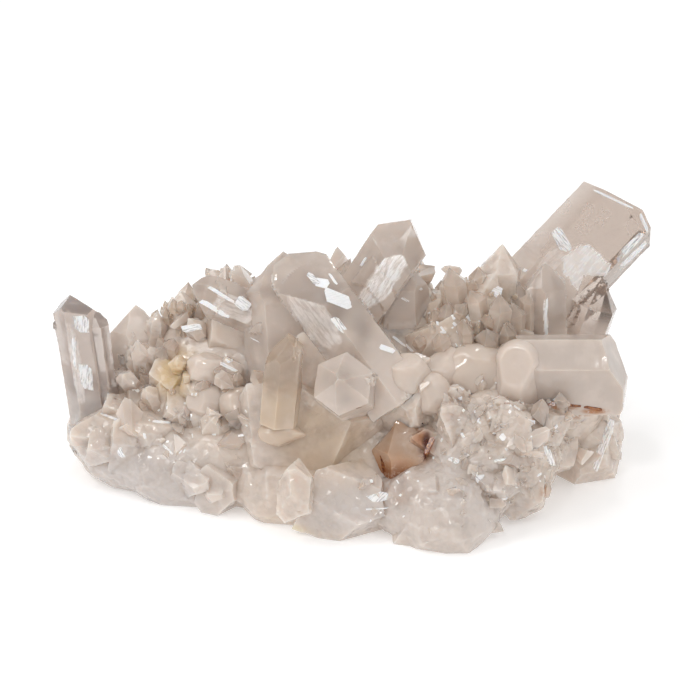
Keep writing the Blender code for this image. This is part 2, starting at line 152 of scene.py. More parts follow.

# Flat facets painted white as highlights: middle, two half-edges, and how plainly each shows.
PAINTED_HIGHLIGHTS = [
    ((-42, -2.6, 40.2), (2.6, -0.8, 0.5), (0.3, 0.3, -0.9), 0.5),
    ((-35.5, -5, 47), (3.7, -0.2, -2.4), (0.2, 0.2, 0.6), 1),
    ((-34, -4, 50.7), (3.4, -0.2, -2.3), (0.1, 0.1, 0.5), 0.8),
    ((-28.6, -4.1, 48), (1.5, -0.2, -1.5), (1, 0.4, 1.2), 0.6),
    ((-4.9, -14.2, 53.7), (3.5, 0.5, -1.7), (-0.6, 1.1, 1.9), 0.9),
    ((-8.8, -9.5, 56), (1.7, -0.6, -0.2), (-0.5, -1.2, -0.6), 1),
    ((-6.1, -8.5, 56.6), (1, -1.9, -0.8), (0.3, 0.2, 0.1), 0.9),
    ((7.1, -17, 41.6), (2, 0.4, -0.9), (-0.5, -0.6, -0.4), 1),
    ((10.4, -2.1, 36.9), (1.7, -1.2, -0.8), (0.2, 0.2, 0.2), 0.9),
    ((12.9, -4.4, 36), (1.2, -2.3, -0.2), (0.2, -0.1, 0.3), 0.9),
    ((-11, -8.1, 56.5), (1.3, -1.9, -0.8), (0.5, 0.6, 0.3), 0.35),
    ((-4.6, -18.1, 48.6), (1.5, -0.6, -1.8), (0.7, 0.6, 0.3), 0.35),
    ((34.8, -1.6, 50.4), (1.3, 0.1, -0.9), (0.4, 1.2, 1.1), 0.7),
    ((-69.1, -3.8, 42.4), (0.1, -0.2, -2.4), (1.9, 0.4, -0.3), 0.2),
    ((-68.7, -5.3, 28.4), (0.1, -0.4, -3.5), (1.7, 0.3, -0.3), 0.3),
    ((-71.3, -4.9, 37.1), (-0.1, -0.8, -6.9), (0.5, 0.1, 0), 0.3),
    ((52.6, 17.5, 56.5), (1.6, -1, -2.9), (1.3, 0.5, 0.9), 0.3),
    ((47.1, -3.3, 44.6), (-0.1, -0.3, -4.3), (0.2, -0.2, 0.1), 0.9),
    ((-40.5, -5.7, 32.5), (0.5, -1, -1.7), (1, 0.1, 0.5), 0.5),
    ((-32.3, -10.9, 33.8), (2.2, 0, -1.4), (0.2, 0.2, 0.4), 0.6),
    ((-49.4, -13.3, 19.7), (2.4, 0.7, -0.6), (0.1, 0.5, 0.1), 0.7),
    ((-61.8, -10.5, 19.4), (3.3, -2.3, 0.3), (0.1, 0.4, 0.1), 0.5),
    ((-47.3, -19.1, 14.8), (1.3, -1.3, -0.7), (0.2, 0.2, 0.2), 0.6),
    ((-59.5, -17.5, 13.4), (0.6, 0.3, -1.9), (0.8, -0.1, 0.3), 0.35),
    ((-31.7, -14.9, 20.8), (0.4, -0.5, -0.1), (0.2, 0.4, 0.2), 1),
    ((-27.7, -20, 22.6), (0.3, -0.6, -0.4), (0.3, -0.4, 0.3), 1),
    ((-30.3, -19.3, 18.6), (3, 0, 0.9), (0.2, -0.3, -0.1), 0.7),
    ((3.6, -38, 8.7), (4.1, 0.6, -0.1), (0.1, 0.1, 0.2), 0.6),
    ((6.3, -35.4, 10), (1.9, -0.4, 1.6), (0.7, -1.3, -0.1), 0.45),
    ((23.2, -32.6, 19), (1.4, -0.8, -0.1), (0.5, 0.2, 0.7), 0.6),
    ((33.3, -34.1, 19.8), (2.7, 0.3, 0.4), (0.2, 0.2, 0.4), 0.5),
    ((34.9, -32.2, 25.3), (0.5, -0.4, -0.5), (0.5, 0.3, 0.5), 0.9),
    ((38.6, -26.1, 30.1), (1, -0.1, -0.5), (0.4, 0.6, 0.5), 0.8),
    ((26.1, -32.8, 20.7), (0.7, -0.3, -0.1), (0.1, 0.2, 0.4), 0.9),
    ((46.5, -27.7, 18.8), (1.4, -0.4, -4.2), (0.9, 1.3, -0.2), 0.3),
    ((62.3, -10.7, 11.8), (-2.5, -2.5, -5.6), (1, -0.6, -0.2), 0.4),
    ((43.1, 14.6, 49.3), (0.4, -0.7, 0), (0.3, 0.3, 0.3), 1),
    ((16.1, 6.7, 47.4), (0.3, 0.3, -0.4), (0.3, 0.5, 0.1), 1),
    ((12, 3.3, 45.9), (1, -0.2, -0.5), (0.2, 0.1, 0.2), 0.5),
    ((21.1, -9.4, 43.3), (0.7, -0.5, -0.9), (0.2, 0.1, 0.2), 0.7),
    ((27.8, -7.6, 45.8), (0.7, -0.3, -0.7), (0.5, 0.3, 0.4), 0.5),
    ((39, 0.9, 42.5), (0.5, -1, -1), (0.3, -0.5, 0.2), 0.5),
    ((1.3, 1.5, 57), (0.7, 0.3, 1.2), (0.2, -0.3, -0.1), 0.6),
    ((-25.7, -7.2, 39.6), (1.1, -1.6, 0.2), (0.3, -0.4, -0.1), 0.6),
    ((65.9, 22.8, 65.7), (6, -0.5, -2.8), (0.14, 0.13, 0.27), 0.75),
    ((74, 21.2, 59.8), (1.2, -0.9, -2.4), (-0.4, -0.1, -0.2), 0.6),
    ((71.5, 21.4, 50.5), (-4.2, -2.3, -3.5), (0.7, 1.3, -1), 0.45),
    ((70.1, 18.5, 54.2), (-3.6, -1.7, -3.2), (0.7, -0.2, -0.6), 0.3),
]

# Scattered glints, painted as small white highlights: middle, reach and number.
GLINTS = [
    ((-34, -12, 25), 12, 60),
    ((36, -22, 22), 18, 90),
    ((26, -10, 40), 16, 60),
    ((8, -30, 12), 14, 24),
    ((-52, -14, 18), 16, 30),
    ((0, 30, 30), 50, 120),
]
# Plain white for the painted highlight plates.
WHITE = (0.99, 0.985, 0.98)

# Plates face the cluster's show side. Each has this outline, in shares of its half-edges.
SHOW_SIDE = Vector((0, -0.9, 0.42))
PLATE_OUTLINE = [(-1, -1), (0.55, -1), (1, -0.35), (1, 1), (-0.65, 1), (-1, 0.45)]
# A plate's layers, as height and size, how far it looks for the surface, and how nearly that faces its way.
PLATE_LAYERS = ((-0.3, 1), (0.06, 1), (0.1, 0.9))
PLATE_SEARCH = 4
PLATE_FACING = 0.2

# Crystals that don't swell where they meet the base.
UNSEATED = {"right_slab_crystal"}

# Patches of the base with their own fracture facets: middle, reach, and the facets' height and width.
BREAKS = [
    ((-10, -22, 15), 14, 0.1, 9),
    ((-34, -3, 40), 9, 0.15, 8),
    ((-50, -16, 8), 24, 0.32, 11),
    ((-33, -14, 22), 14, 0.5, 6),
    ((-44, 0, 26), 14, 0.3, 6),
    ((34, -20, 20), 20, 0.7, 5),
    ((20, -32, 6), 14, 0.5, 7),
    ((-3, -32, 8), 12, 0.5, 9),
    ((28, -2, 44), 16, 0.2, 5),
]
PLAIN_BREAK = (0.5, 7)

# Patches of small crystals: middle, reach, number, widths, lengths, direction, stray, warmth, seed.
SPROUTS = [
    ((-34, -12, 23), 10, 16, (2.6, 6), (3, 6.5), (-0.1, -0.6, 0.7), 0.8, 0.2, 21),
    ((-50, -2, 27), 10, 16, (2, 5), (2.5, 7), (-0.2, -0.4, 0.9), 0.5, 0.2, 22),
    ((-26, -14, 28), 8, 12, (2, 5), (2.5, 6), (-0.2, -0.6, 0.8), 0.8, 0.4, 23),
    ((-42, 8, 40), 12, 30, (1.6, 4.6), (1.6, 5.5), (0, -0.1, 1), 0.4, 0.8, 24),
    ((28, -4, 44), 15, 36, (1.6, 4.4), (2.4, 6), (0, -0.4, 0.9), 0.3, 0.6, 25),
    ((22, -14, 32), 10, 16, (1.6, 4.2), (1.6, 4), (0.1, -0.7, 0.7), 0.9, 0.2, 26),
    ((36, -20, 22), 17, 50, (0.8, 2.6), (0.8, 2), (0.2, -0.8, 0.5), 1, 0, 27),
    ((-60, 6, 24), 12, 30, (1.4, 4), (1.4, 5), (-0.4, -0.1, 0.9), 0.6, 0.1, 29),
    ((-32, 26, 30), 22, 120, (1.4, 6.2), (2, 7.5), (0, 0.6, 0.8), 0.7, 0.3, 30),
    ((4, 30, 34), 24, 140, (1.4, 6.2), (2, 7.5), (0, 0.6, 0.8), 0.7, 0.3, 31),
    ((38, 26, 28), 22, 130, (1.4, 6.2), (2, 7.5), (0.3, 0.5, 0.8), 0.7, 0.3, 32),
    ((56, 0, 26), 12, 40, (1.2, 3), (1.2, 4), (0.5, -0.4, 0.7), 0.8, 0.5, 33),
]

# The larger upright crystals of the right-hand druse: foot, tip and width.
UPRIGHTS = [
    ((25.6, -2, 44), (25, -1, 57), 6.4),
    ((30.5, -5.5, 42), (29.4, -5, 53), 6),
    ((34.6, -7, 42), (35.2, -7, 52.8), 7),
    ((22.8, -5, 41), (21.8, -6, 49.2), 5.2),
    ((39, -5, 41), (39.2, -5.5, 49.6), 5.6),
    ((27.2, -9, 38), (25.8, -11, 47.2), 6),
    ((32.5, -10, 38), (31.6, -12, 46.4), 6.4),
    ((37.2, -9, 38), (37.4, -10.5, 45.6), 5.4),
    ((22, -10, 37), (20.4, -12.5, 44.6), 5.6),
    ((30, 2, 46), (30.4, 2, 56.4), 5),
    ((42.6, -2, 40), (43.4, -3, 50.4), 4.4),
]

# Larger lumps: middle, half-sizes, seed, warmth, and how sharp their edges are.
LUMPS = [
    ((30, -12.5, 33), (9.5, 7, 7.6), 3, 0.35, 16),
    ((21.5, -13, 33.5), (6.5, 5.6, 6.4), 4, 0.2, 16),
    ((12.6, -17, 34), (6.4, 5.2, 6), 5, 0.2, 20),
    ((18, -19, 30), (5.4, 4.8, 6), 13, 0.2, 30),
    ((38, -13.5, 33.5), (6.6, 6.4, 7.4), 7, 0.3, 16),
    ((-38, -8, 31.6), (5.6, 4, 4.6), 8, 0.1, 90),
    ((-37.5, -11, 24.5), (5.6, 4.4, 4.6), 11, 0.1, 90),
    ((-30, -13.5, 24.5), (5, 4.4, 5), 12, 0.3, 90),
    ((-18.5, -23.6, 22), (6, 3.8, 3.2), 15, 0.9, 30),
    ((39.4, -17.2, 34.6), (6.8, 6.6, 9.2), 24, 0.1, 30),
]
LUMP_PLANES = 14

# Rust stains on the surface: middle, two half-edges, and how plainly each shows.
STAINS = [
    ((17.4, -27.6, 20.6), (-0.9, -0.6, -2.4), (0.8, 0, 0.2), 0.95),
    ((47.2, -20.4, 28.4), (2.8, 0.1, -0.3), (0.1, 0.25, 0.5), 0.75),
    ((57.8, -18.9, 26.4), (2.6, 0.1, -0.6), (0.1, 0, 0.5), 0.8),
    ((52.6, -19.8, 27.4), (2.8, 0.1, -0.4), (0.1, 0.1, 0.45), 0.55),
    ((10, -29.6, 14.4), (3.6, -0.4, -0.6), (0.3, -0.8, 2.2), 0.35),
    ((6.4, -27.3, 15), (0.6, -0.6, -2.6), (0.6, 0.2, 0.1), 0.6),
]

# Patches of broken quartz: middle, reach, number, least and greatest size, and seed.
CHIPS = [
    ((-34, -12, 23), 11, 24, (2, 5), 41),
    ((-50, -12, 18), 13, 16, (1.6, 4), 43),
    ((-32, -26, 12), 8, 10, (1.4, 4), 44),
    ((36, -20, 20), 19, 260, (0.8, 3.2), 45),
    ((26, -34, 8), 15, 60, (0.8, 2.6), 46),
    ((14, -15, 32), 10, 26, (1.6, 4), 47),
    ((2, -34, 8), 10, 8, (0.7, 2.6), 48),
    ((55, -6, 16), 13, 24, (1, 4), 49),
    ((0, 34, 20), 50, 320, (1.2, 5), 50),
    ((-64, 10, 16), 12, 40, (1, 4), 51),
]
# Chips painted plain white as glints, a painted highlight: their share, how brightly, and the largest that
# does.
GLINT_SHARE, GLINT, GLINT_SIZE = 0.05, 1.6, 2 * MM
# How deep a chip sits, in shares of its size.
CHIP_SINK = (0.22, 0.42)
# Nothing small reaches below this height, because the foot is flat.
LOWEST = 0.05 * MM

# Smooth places where nothing small grows: middle and reach.
BARE = [
    ((-8, -27, 12), 11), ((-16, -26, 18), 9), ((-24, -25, 15), 6), ((-2, -25, 18), 6),
    ((-58, -20, 6), 13), ((-40, -26, 4), 12), ((-35, -3, 41), 8), ((-42, -3, 39), 5),
    ((-46.5, -6.5, 31), 5.5), ((14, -27, 22), 5),
]
CHIP_SHAPES = 28
CHIP_FACES = 11

# The studio's light from the horizon to overhead, as a share of its strength.
SKY = [(0, 0.85), (0.2, 0.8), (0.35, 0.45), (0.6, 0.5), (0.8, 0.9), (1, 1)]
SKY_STRENGTH = 0.94
FLOOR_GLOW = 0.26
FLOOR_HALF = 6
FLOOR_TONES = ((0.93, 0.93, 0.93), (0.95, 0.95, 0.95))

# Lamps: place, size in metres and power in watts. The small ones are for the glints.
KEY_LAMP = ((-0.5, -0.1, 0.75), 0.3, 1.1)
SPARK_PLACES = [(-0.25, -0.6, 0.75), (0.3, -0.45, 0.85), (-0.6, -0.35, 0.5)]
SPARK_PLACES += [(0.55, -0.6, 0.4), (0, 0.3, 0.95)]
SPARK_SIZE, SPARK_POWER = 0.07, 0.5
LAMP_AIM = Vector((0, 0, 0.03))
BOUNCES = 24

# The camera's target and its way from there, in millimetres, and its focal length.
CAMERA_TARGET = Vector((-1.95, -2.07, 34.4))
CAMERA_AWAY = Vector((0, -445.9, 207.9))
FOCAL_LENGTH = 100

GLASS_TINT = (1, 0.985, 0.97, 1)
# How deep each colour of light gets in milky quartz, in shares of its depth.
MILK_DEPTH = (1, 0.86, 0.74)

# The colour mix node's sockets.
MIX_FIRST, MIX_SECOND, MIX_RESULT = 6, 7, 2


class Value:
    """A number that varies over a surface. Arithmetic on it adds the Math nodes."""

    def __init__(self, finish, socket):
        self.finish, self.socket = finish, socket

    def maths(self, operation, *values):
        return self.finish.node("Math", dict(operation=operation), dict(enumerate(values)))

    def __add__(self, other):
        return self.maths("ADD", self, other)

    __radd__ = __add__

    def __sub__(self, other):
        return self.maths("SUBTRACT", self, other)

    def __rsub__(self, other):
        return self.maths("SUBTRACT", other, self)

    def __mul__(self, other):
        return self.maths("MULTIPLY", self, other)

    __rmul__ = __mul__

    def high(self, other):
        return self.maths("MAXIMUM", self, other)

    def low(self, other):
        return self.maths("MINIMUM", self, other)

    def within(self):
        """The same number, kept between 0 and 1."""
        return self.high(0).low(1)

    def between(self, start, end):
        """0 below start, 1 above end, and a smooth rise from one to the other."""
        settings = dict(interpolation_type="SMOOTHSTEP")
        return self.finish.node("MapRange", settings, {"Value": self, "From Min": start, "From Max": end})


class Finish:
    """A material whose nodes are written as expressions."""

    def __init__(self, name):
        self.material = bpy.data.materials.new(name)
        self.material.use_nodes = True
        self.tree = self.material.node_tree
        self.tree.nodes.clear()

    def node(self, kind, settings=None, inputs=None, output=0):
        """Add a node, set it up, join its inputs, and give one of its outputs."""
        made = self.tree.nodes.new("ShaderNode" + kind)
        for key, value in (settings or {}).items():
            setattr(made, key, value)
        for key, value in (inputs or {}).items():
            if isinstance(value, Value):
                self.tree.links.new(value.socket, made.inputs[key])
            else:
                made.inputs[key].default_value = value
        return Value(self, made.outputs[output])

    def place(self):
        """Where a point is on the cluster, in millimetres."""
        here = self.node("TexCoord", output="Object")
        return self.node("VectorMath", dict(operation="SCALE"), {0: here, "Scale": 1 / MM})

    def grain(self, place, size, detail, roughness=0.5):
        """Noise from about 0 to 1 with features of that size, in millimetres."""
        inputs = {"Vector": place, "Scale": 1 / size, "Detail": detail, "Roughness": roughness}
        return self.node("TexNoise", None, inputs)

    def vector(self, operation, first, second=(0, 0, 0), output=0):
        return self.node("VectorMath", dict(operation=operation), {0: first, 1: second}, output)

    def facets(self, place, size):
        """The height of flat facets, each tilted its own way, in millimetres."""
        inputs = {"Vector": place, "Scale": 1 / size}
        centre = self.node("TexVoronoi", None, inputs, "Position")
        tilt = self.vector("SUBTRACT", self.node("TexVoronoi", None, inputs, "Color"), (0.5, 0.5, 0.5))
        return self.vector("DOT_PRODUCT", tilt, self.vector("SUBTRACT", place, centre), "Value")

    def grown(self):
        """A point's place across, behind and along its own crystal, in millimetres."""
        return self.node("Attribute", dict(attribute_name="grown"), None, "Vector")

    def near(self, place, middle, reach, edge):
        """1 at the middle of an ellipsoid and 0 outside it."""
        away = self.vector("DIVIDE", self.vector("SUBTRACT", place, middle), reach)
        return 1 - self.vector("LENGTH", away, output="Value").between(1 - edge, 1)

    def attribute(self, name):
        return self.node("Attribute", dict(attribute_name=name), None, "Fac")

    def blend(self, share, first, second):
        """A colour between two, by a number from 0 to 1."""
        inputs = {0: share, MIX_FIRST: rgba(first), MIX_SECOND: rgba(second)}
        return self.node("Mix", dict(data_type="RGBA"), inputs, MIX_RESULT)

    def bump(self, height, strength, distance):
        return self.node("Bump", None, {"Height": height, "Strength": strength, "Distance": distance * MM})

    def mixed(self, share, first, second):
        return self.node("MixShader", None, {0: share, 1: first, 2: second})

    def done(self, surface, inside=None):
        output = self.tree.nodes.new("ShaderNodeOutputMaterial")
        self.tree.links.new(surface.socket, output.inputs["Surface"])
        if inside:
            self.tree.links.new(inside.socket, output.inputs["Volume"])
        return self.material


def rgba(colour):
    return colour if isinstance(colour, Value) else (*colour[:3], 1)


def sizes():
    return bpy.context.scene.quartz_sizes


def tint(name):
    return getattr(bpy.context.scene.quartz_colours, name)[:]


def quartz(finish, roughness, normal, inputs, **settings):
    inputs |= {"Roughness": roughness, "IOR": sizes().bending, "Normal": normal}
    return finish.node("BsdfPrincipled", settings, inputs)


def glassy(finish, roughness, normal):
    """Clear quartz."""
    return quartz(finish, roughness, normal, {"Base Color": GLASS_TINT, "Transmission Weight": 1})


def milky(finish, colour, inner, roughness, normal, depth):
    """Milky quartz, which light enters and leaves again. Seen from within, it has one even colour."""
    inputs = {"Base Color": colour, "Subsurface Weight": 1, "Subsurface Radius": MILK_DEPTH}
    inputs["Subsurface Scale"] = depth * MM
    outside = quartz(finish, roughness, normal, inputs, subsurface_method="RANDOM_WALK")
    inside = finish.node("BsdfTranslucent", None, {"Color": rgba(inner)})
    return finish.mixed(finish.node("NewGeometry", output="Backfacing"), outside, inside)


def absorbing(finish, density):
    return finish.node("VolumeAbsorption", None, {"Color": rgba(tint("depth")), "Density": density})


def base_finish():
    """The base: milky, with beige painted shade in its hollows and grooves, a painted highlight along its
    ridges, and a few stains.
    """
    f = Finish("milky_quartz_dressed")
    place = f.place()
    cloud = f.grain(place, 14, 4)
    fine = f.grain(place, 2.2, 5, 0.6)
    ridge = f.attribute("ridge")
    colour = f.blend(cloud.between(0.35, 0.7), tint("milk_shade"), tint("milk"))
    specks = f.grain(place, 1.4, 4).between(0.42, 0.6)
    grains = {"even": 1, "cloudy": fine.between(0.2, 0.5), "specks": specks}
    for name, amount, grain, spots in TINTS:
        mask = 0
        for middle, reach, softness, strength in spots:
            mask = f.near(place, middle, reach, softness) * strength + mask
        colour = f.blend((mask * grains[grain]).within() * amount, colour, tint(name))
    # Painted highlight: the ridges are lightened toward near-white.
    colour = f.blend(ridge.between(0.35, 0.9) * 0.1, colour, tint("ridge"))
    # Painted shade: the grooves are darkened toward the beige hollow colour.
    colour = f.blend((0 - ridge).between(0.1, 0.9) * 0.3, colour, tint("hollow"))
    rough = 0.05 + fine * 0.2
    smooth = f.near(place, (-12, -26, 16), (20, 12, 12), 0.6) + f.near(place, (-36, -3, 41), (11, 9, 8), 0.6)
    broken = 0.3 + f.near(place, (34, -24, 18), (30, 22, 26), 0.6) * 0.7
    broken = broken * (1 - smooth.within() * 0.8)
    relief = f.facets(place, 3.6) * 0.7 + f.facets(place, 1.5) + f.grain(place, 0.9, 4, 0.65) * 0.1
    normal = f.bump(relief * broken, 0.75, 1)
    clear = 0.15 + f.grain(place, 7, 3).between(0.45, 0.7) * 0.25
    body = milky(f, colour, tint("milk"), rough, normal, 3.5)
    glass = glassy(f, rough * 0.5, normal)
    return f.done(f.mixed(clear, body, glass), absorbing(f, 20))


def crystal_finish(name, clearness, density, marks=(), colour="milk", roughness=0.04):
    """A crystal: clear at its tip and milky at its root, with frosting, painted highlights and fine growth
    lines.
    """
    f = Finish(name)
    place, grown = f.place(), f.grown()
    milk = f.attribute("milk")
    frost = f.attribute("frost")
    cloud = f.grain(place, 6, 4)
    fine = f.grain(place, 0.7, 4, 0.6)
    streak = f.grain(f.vector("MULTIPLY", grown, (1.3, 1.3, 0.3)), 1, 4, 0.65)
    lines = f.grain(f.vector("MULTIPLY", grown, (0.12, 0.12, 1.7)), 1, 3, 0.6)
    # Above about 1.05 the frost value is a painted highlight: plain white.
    plain = frost.between(1.05, 1.3)
    frost_and_highlight_mask = (frost.within() * (0.35 + streak.between(0.32, 0.62) * 0.65)).high(plain)
    shade = f.blend(cloud.between(0.3, 0.8) * 0.5, tint(colour), tint("milk"))
    shade = f.blend(f.attribute("warm") * 0.75, shade, tint("hollow"))
    shade = f.blend(frost_and_highlight_mask, shade, tint("frost"))
    stained = None
    for middle, reach, tone, amount in marks:
        mark = f.near(place, middle, reach, 0.7)
        grainy = f.grain(place, 1.3, 4, 0.7).between(0.3, 0.52)
        mark = mark * grainy if amount < 1 else mark.between(0.1, 0.4)
        shade = f.blend(mark * amount, shade, tint(tone))
        stained = mark * amount if stained is None else stained.high(mark * amount)
    rough = (roughness + milk * 0.06 + frost_and_highlight_mask * 0.25 * (1 - plain) + fine * 0.05).within()
    normal = f.bump(fine * 0.12 + cloud * 0.5 + lines * 0.35 + frost_and_highlight_mask * streak * 0.8, 0.3, 0.16)
    haze = cloud.between(0.5, 0.8) * 0.15
    opaque = 1 - clearness + milk * clearness * 0.85 + haze + frost_and_highlight_mask * 0.65
    if stained:
        opaque = opaque + stained
    body = milky(f, shade, tint(colour), rough, normal, 2.5)
    glass = glassy(f, rough, normal)
    return f.done(f.mixed(opaque.low(0.97), glass, body), absorbing(f, density))


def plate_finish(name, colours):
    """Thin plates that let a little of what is under them through: the white ones are painted highlights, the
    rust ones stains.
    """
    f = Finish(name)
    place = f.place()
    fine = f.grain(place, 0.6, 4, 0.65)
    streak = f.grain(f.vector("MULTIPLY", f.grown(), (0.4, 1, 2.2)), 1, 3)
    amount = f.attribute("frost")
    shown = (amount * 1.5 - 0.5 + streak.between(0.25, 0.6) * (1 - amount) * 1.4).within()
    normal = f.bump(fine * 0.2 + streak * 0.2, 0.3, 0.2)
    tone = f.blend(fine.between(0.35, 0.65), *colours)
    body = milky(f, tone, colours[1], 0.08 + fine * 0.1, normal, 0.5)
    return f.done(f.mixed(shown, f.node("BsdfTransparent"), body))


def add_object(name, data):
    made = bpy.data.objects.new(name, data)
    bpy.context.scene.collection.objects.link(made)
    return made


def packed(node):
    """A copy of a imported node's mesh, with the corners that its file split joined again."""
    bm = bmesh.new()
    bm.from_mesh(bpy.data.objects[node].data)
    bmesh.ops.remove_doubles(bm, verts=bm.verts, dist=WELD)
    return bm


def crisp_skin(name, bm, cell):
    """An even mesh over a solid that keeps its sharp edges."""
    mesh = bpy.data.meshes.new(name)
    bm.to_mesh(mesh)
    bm.free()
    made = add_object(name, mesh)
    reach = max(made.dimensions)
    skin = made.modifiers.new("Skin", "REMESH")
    skin.mode = "SHARP"
    skin.octree_depth = max(4, math.ceil(math.log2(reach / cell / 0.98)))
    skin.scale = reach / cell / 2**skin.octree_depth
    skin.use_remove_disconnected = True
    made.data = bpy.data.meshes.new_from_object(made.evaluated_get(bpy.context.evaluated_depsgraph_get()))
    made.modifiers.clear()
    return made


def corners_of(mesh, kind="co"):
    """Where a mesh's vertices are or, for "normal", which way they face."""
    flat = np.empty(len(mesh.vertices) * 3)
    mesh.vertices.foreach_get(kind, flat)
    return flat.reshape(-1, 3)


def put_corners(mesh, places):
    mesh.vertices.foreach_set("co", places.ravel())
    mesh.update()


def paint(mesh, **layers):
    """Store numbers or vectors for the vertices, which a material can read."""
    for name, values in layers.items():
        values = np.asarray(values, dtype=np.float32)
        kind, key = ("FLOAT", "value") if values.ndim == 1 else ("FLOAT_VECTOR", "vector")
        mesh.attributes.new(name, kind, "POINT").data.foreach_set(key, values.ravel())


def smoothed(mesh, places, rounds):
    """The vertices after each has moved to the middle of its neighbours a number of times."""
    ends = np.empty(len(mesh.edges) * 2, dtype=np.int64)
    mesh.edges.foreach_get("vertices", ends)
    a, b = ends[0::2], ends[1::2]
    count = np.bincount(ends, minlength=len(places))[:, None]
    size, result = len(places), places.copy()
    for _ in range(rounds):
        sums = [np.bincount(a, result[b, k], size) + np.bincount(b, result[a, k], size) for k in range(3)]
        result = np.stack(sums, axis=1) / np.maximum(count, 1)
    return result


def ridges(mesh, rounds, full):
    """How far each vertex stands out: 1 on a sharp ridge and -1 in a deep groove."""
    places = corners_of(mesh)
    out = np.einsum("ij,ij->i", places - smoothed(mesh, places, rounds), corners_of(mesh, "normal"))
    return np.clip(out / (full * MM), -1, 1)


def soft_step(share):
    share = min(1, max(0, share))
    return share * share * (3 - 2 * share)


def fracture(place, size):
    """Flat facets, each tilted its own way, as quartz breaks."""
    scaled = place / size
    _, centres = noise.voronoi(scaled)
    tilt = noise.cell_vector(centres[0] * 17.3) - Vector((0.5, 0.5, 0.5))
    return tilt.dot(scaled - centres[0]) * 1.6 + noise.cell(centres[0] * 11.7) * 0.25


def break_at(place):
    """The height and width of the fracture facets at a place on the base, in millimetres."""
    total = 0.3
    height, width = PLAIN_BREAK[0] * total, PLAIN_BREAK[1] * total
    for middle, reach, patch_height, patch_width in BREAKS:
        share = soft_step(1.3 - (place - Vector(middle)).length / reach)
        height += patch_height * share
        width += patch_width * share
        total += share
    return height / total, width / total


def finish_surface(made, angle):
    """Smooth shading that keeps the edges sharper than an angle."""
    made.data.shade_smooth()
    made.data.set_sharp_from_angle(angle=math.radians(angle))


def take(made, look, slot, *nodes):
    made.data.materials.append(look)
    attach(made, BODY)
    if nodes:
        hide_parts(*nodes)


class QuartzSizes(bpy.types.PropertyGroup):
    """The sizes that set how fine the cluster's detail is."""

    def length(name, description, millimetres):
        return FloatProperty(name=name, description=description, default=millimetres * MM, unit="LENGTH")

    base_cell: length("Base mesh", "Size of the faces of the base's skin", 0.85)
    crystal_cell: length("Crystal mesh", "Size of the faces of a crystal's skin", 0.5)
    growth_line: length("Growth lines", "Height of the lines across a crystal's sides", 0.035)
    edge_wear: length("Edge wear", "Depth of the nicks along the edges", 0.14)
    seat: length("Seat", "How far a root swells to fill its socket", 0.55)
    bending: FloatProperty(name="Index of refraction", description="How far light bends", default=1.544)


class QuartzColours(bpy.types.PropertyGroup):
    """The colours of the quartz and of its stains, and those painted as highlight and shade."""

    def shade(name, description, colour):
        return FloatVectorProperty(
            name=name, description=description, default=colour, subtype="COLOR", min=0, max=1, size=3
        )

    milk: shade("Milk", "The base's main colour", (0.72, 0.63, 0.565))
    milk_shade: shade("Milk shade", "The base's darker clouds", (0.71, 0.61, 0.53))
    pale: shade("Pale", "The greyer foot of the base", (0.62, 0.57, 0.545))
    # Beige that is painted shade in the base's grooves and recesses, and the own colour of the small upright
    # crystal and the warm druse.
    hollow: shade("Hollow", "The beige depths of the base", (0.60, 0.475, 0.355))
    ochre: shade("Ochre", "The yellow hollow at the left", (0.66, 0.47, 0.22))
    slab: shade("Slab", "The pinkish crystal that lies on its side", (0.57, 0.49, 0.435))
    stained: shade("Stained", "The pinkish crystal in the rust", (0.55, 0.37, 0.25))
    moss: shade("Moss", "The yellow-green rim of the foot", (0.78, 0.68, 0.30))
    rust: shade("Rust", "Iron stains", (0.42, 0.17, 0.05))
    rust_dark: shade("Dark rust", "The darkest iron stain", (0.10, 0.01, 0.004))
    # Painted highlight: the near-white laid along the base's ridges.
    ridge: shade("Ridge", "Bright edges", (0.95, 0.93, 0.91))
    # White for frosting and for painted highlights on the crystals and the plates.
    frost: shade("Frost", "Frosted places on the crystals", (0.95, 0.93, 0.92))
    depth: shade("Depth", "What light keeps on its way through clear quartz", (0.76, 0.69, 0.64))


class QUARTZ_OT_base(bpy.types.Operator):
    """Build the milky base, broken into facets"""

    bl_idname = "quartz.base"
    bl_label = "Milky base"

    def execute(self, context):
        made = crisp_skin("milky_base", packed(BASE), sizes().base_cell)
        mesh = made.data
        places, out = corners_of(mesh), corners_of(mesh, "normal")
        for i, (place, normal) in enumerate(zip(places / MM, out)):
            at = Vector(place)
            height, width = break_at(at)
            relief = fracture(at, width) * height
            relief += sum(noise.noise(at / size) * rise for size, rise in BASE_RELIEF)
            relief *= soft_step(at.z / FOOT)
            places[i] += normal * (relief * MM)
        places[:, 2] = np.maximum(places[:, 2], 0)
        put_corners(mesh, places)
        # How far each vertex stands out, which paints highlight on the ridges and shade in the grooves.
        paint(mesh, ridge=ridges(mesh, 8, 0.5))
        finish_surface(made, BASE_CREASE)
        take(made, base_finish(), "milky_quartz", BASE)
        return {"FINISHED"}


class Member:
    """One crystal's own axes and measures."""

    def __init__(self, foot, tip, width, rise):
        self.foot, self.width, self.rise = Vector(foot), width, rise
        self.axis = (Vector(tip) - self.foot).normalized()
        self.length = (Vector(tip) - self.foot).length
        self.front = (Vector((0, -1, 0)) + self.axis * self.axis.y).normalized()
        self.side = self.axis.cross(self.front)

    def grown(self, place):
        """A place across, behind and along the crystal."""
        off = place - self.foot
        return off.dot(self.side), off.dot(self.front), off.dot(self.axis)

    def distance(self, place):
        across, behind, along = self.grown(place)
        past = max(0, along - self.length, -along)
        return math.hypot(across, behind) / self.width + past * PAST_END / self.length


